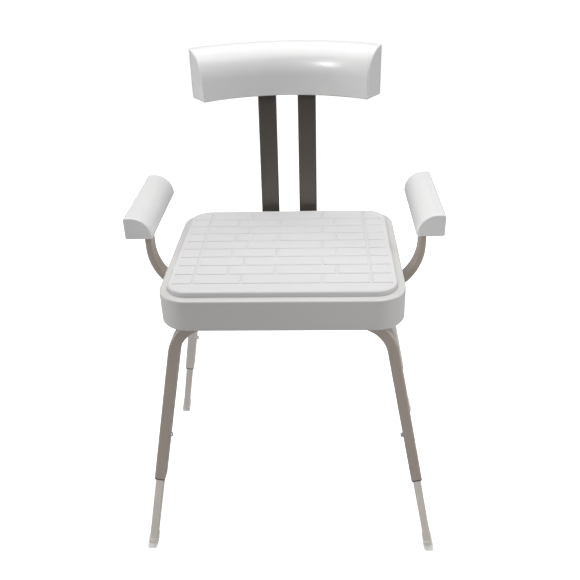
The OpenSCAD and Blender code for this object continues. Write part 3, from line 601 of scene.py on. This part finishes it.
def upright_boot():
    bm = rounded_sheet(BOOT_W, BOOT_D, BOOT_CORNER, 6)
    bmesh.ops.translate(bm, vec=(0, 0, -BELOW), verts=bm.verts)
    for k, (step, wider) in enumerate(BOOT_STEPS):
        top = max(bm.faces, key=lambda f: f.calc_center_median().z)
        ring = verts_of(bmesh.ops.extrude_face_region(bm, geom=[top])["geom"])
        if k > 0:  # the first face stays as the underside; the others would be walls inside
            bmesh.ops.delete(bm, geom=[top], context="FACES_ONLY")
        bmesh.ops.translate(bm, vec=(0, 0, step), verts=ring)
        bmesh.ops.scale(bm, vec=(wider, wider, 1), verts=ring)
    bmesh.ops.remove_doubles(bm, verts=bm.verts, dist=SAME_POINT)
    return bm


for key, (body, side, tilt) in FEET.items():
    bm = upright_boot()
    lean = Matrix.Rotation(tilt, 4, "X") @ Matrix.Rotation(-side*SPLAY, 4, "Y")
    bmesh.ops.transform(bm, matrix=lean, verts=bm.verts)
    bmesh.ops.bisect_plane(bm, geom=bm.verts[:] + bm.edges[:] + bm.faces[:], dist=CUT_CLOSE,
                           plane_co=(0, 0, 0), plane_no=(0, 0, 1), clear_inner=True)
    bmesh.ops.holes_fill(bm, edges=[e for e in bm.edges if e.is_boundary], sides=0)
    # the middle of the CAD foot's box is where the middle of the boot's box goes
    low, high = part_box("foot_" + key)
    middle = [(min(v.co[i] for v in bm.verts) + max(v.co[i] for v in bm.verts))/2 for i in (0, 1)]
    bmesh.ops.translate(bm, vec=((low.x + high.x)/2 - middle[0], (low.y + high.y)/2 - middle[1], 0),
                        verts=bm.verts)
    soften(bm, BOOT_R, 3, corner=50)
    make_piece("rubber_foot_" + key, bm, milky_rubber, body, ["foot_" + key])

# %% [markdown]
# The studio's floor looks almost white to the camera but throws little light back, so the
# upright fronts of the mouldings stay a calm grey. Its material tells the two apart by the kind
# of ray that reaches it. The room is done the same way: it lights the stool gently, and is
# brighter where the camera sees it behind the floor.

# %% The floor and the room
FLOOR_SIZE = 20
FLOOR_SEEN, FLOOR_GLOW, FLOOR_BOUNCE = 0.8, 0.8, 0.45
ROOM_LIGHT, ROOM_SEEN = 0.30, 0.75

sheet = bmesh.new()
bmesh.ops.create_grid(sheet, x_segments=1, y_segments=1, size=FLOOR_SIZE)
floor_mesh = bpy.data.meshes.new("floor")
sheet.to_mesh(floor_mesh)
sheet.free()
floor = bpy.data.objects.new("floor", floor_mesh)
bpy.context.scene.collection.objects.link(floor)
floor.location.z = -0.0005  # half a millimetre down, so that no sole lies in the same plane

pale = bpy.data.materials.new("pale_floor")
pale.use_nodes = True
tree = pale.node_tree
tree.nodes.clear()
output = tree.nodes.new("ShaderNodeOutputMaterial")
seen = tree.nodes.new("ShaderNodeBsdfDiffuse")
seen.inputs["Color"].default_value = (FLOOR_SEEN, FLOOR_SEEN, FLOOR_SEEN, 1)
glow = tree.nodes.new("ShaderNodeEmission")
glow.inputs["Color"].default_value = (1, 1, 1, 1)
glow.inputs["Strength"].default_value = FLOOR_GLOW
both = tree.nodes.new("ShaderNodeAddShader")
dull = tree.nodes.new("ShaderNodeBsdfDiffuse")
dull.inputs["Color"].default_value = (FLOOR_BOUNCE, FLOOR_BOUNCE, FLOOR_BOUNCE, 1)
pick = tree.nodes.new("ShaderNodeMixShader")
rays = tree.nodes.new("ShaderNodeLightPath").outputs
to_camera = math_node(tree, "MAXIMUM", rays["Is Camera Ray"], rays["Is Transmission Ray"])
for made, used in ((seen.outputs[0], both.inputs[0]), (glow.outputs[0], both.inputs[1]),
                   (to_camera, pick.inputs[0]), (dull.outputs[0], pick.inputs[1]),
                   (both.outputs[0], pick.inputs[2]), (pick.outputs[0], output.inputs["Surface"])):
    tree.links.new(made, used)
floor_mesh.materials.append(pale)

world = bpy.data.worlds.new("room")
bpy.context.scene.world = world
world.use_nodes = True
room = world.node_tree
air = room.nodes["Background"]
air.inputs["Color"].default_value = (1, 1, 1, 1)
room_rays = room.nodes.new("ShaderNodeLightPath").outputs
beyond = math_node(room, "MULTIPLY", room_rays["Is Camera Ray"], ROOM_SEEN)
room.links.new(math_node(room, "ADD", beyond, ROOM_LIGHT), air.inputs["Strength"])
print("floor and room are ready")

# %% [markdown]
# The lights are a wide soft box overhead and one tall box on each side, which light the rounded
# corners and draw a line of light down the tubes. Two narrow beams finish it: one low in front
# for the legs, one high for the back rest. A narrow spread packs the same power into a small
# beam, so these two need less than a watt. Powers are in watts and spreads in degrees.

# %% The lights
def soft_box(name, place, target, width, power, tall=None, spread=180):
    lamp = bpy.data.lights.new(name, "AREA")
    lamp.shape = "RECTANGLE"
    lamp.size = width
    lamp.size_y = tall or width
    lamp.energy = power
    lamp.spread = math.radians(spread)
    holder = bpy.data.objects.new(name, lamp)
    holder.location = place
    holder.rotation_euler = (Vector(target) - Vector(place)).to_track_quat("-Z", "Y").to_euler()
    bpy.context.scene.collection.objects.link(holder)


MIDDLE = (0, 0, 0.45)  # the middle of the stool, where the big boxes look
soft_box("overhead", (0.1, 0.35, 2.6), MIDDLE, 2.4, 47)
soft_box("left_side", (-2.2, -0.1, 0.9), MIDDLE, 1.0, 17, tall=1.6)
soft_box("right_side", (2.2, -0.1, 0.9), MIDDLE, 1.0, 17, tall=1.6)
soft_box("low_front", (0.2, -2.4, 0.35), (0, 0, 0.03), 0.9, 0.50, spread=16)
soft_box("back_rest_key", (-1.1, -1.5, 2.1), (0.04, 0.16, 0.88), 0.9, 0.75, spread=12)
print("lights", len(bpy.data.lights))

# %% [markdown]
# The camera stands in front and a little to the right, a good step above the seat, and looks
# down at it. Its direction is worked out from how far it is turned, tipped and rolled, as one
# would set up a tripod head. The view transform is the plain one, so that white plastic stays
# white.

# %% The camera
YAW, PITCH, ROLL = -0.053, -0.515, -0.033  # in radians
STAND = (0.066494, -1.163598, 1.094159)
LENS, SENSOR = 44.282, 36                  # in millimetres
forward = Vector((math.sin(YAW)*math.cos(PITCH), math.cos(YAW)*math.cos(PITCH), math.sin(PITCH)))
right = Vector((math.cos(YAW), -math.sin(YAW), 0))
up = right.cross(forward)
right, up = (math.cos(ROLL)*right + math.sin(ROLL)*up, -math.sin(ROLL)*right + math.cos(ROLL)*up)
camera_data = bpy.data.cameras.new("camera")
camera_data.lens = LENS
camera_data.sensor_width = SENSOR
camera = bpy.data.objects.new("camera", camera_data)
turn = Matrix((right, up, -forward)).transposed().to_4x4()
camera.matrix_world = Matrix.Translation(STAND) @ turn
bpy.context.scene.collection.objects.link(camera)
bpy.context.scene.camera = camera
bpy.context.scene.view_settings.view_transform = "Standard"
print("camera at", [round(v, 3) for v in camera.matrix_world.translation])

# %% [markdown]
# The new pieces stand where the CAD pieces stood. Last, the scene is brought up to date.

# %% Bring the scene up to date
bpy.context.view_layer.update()
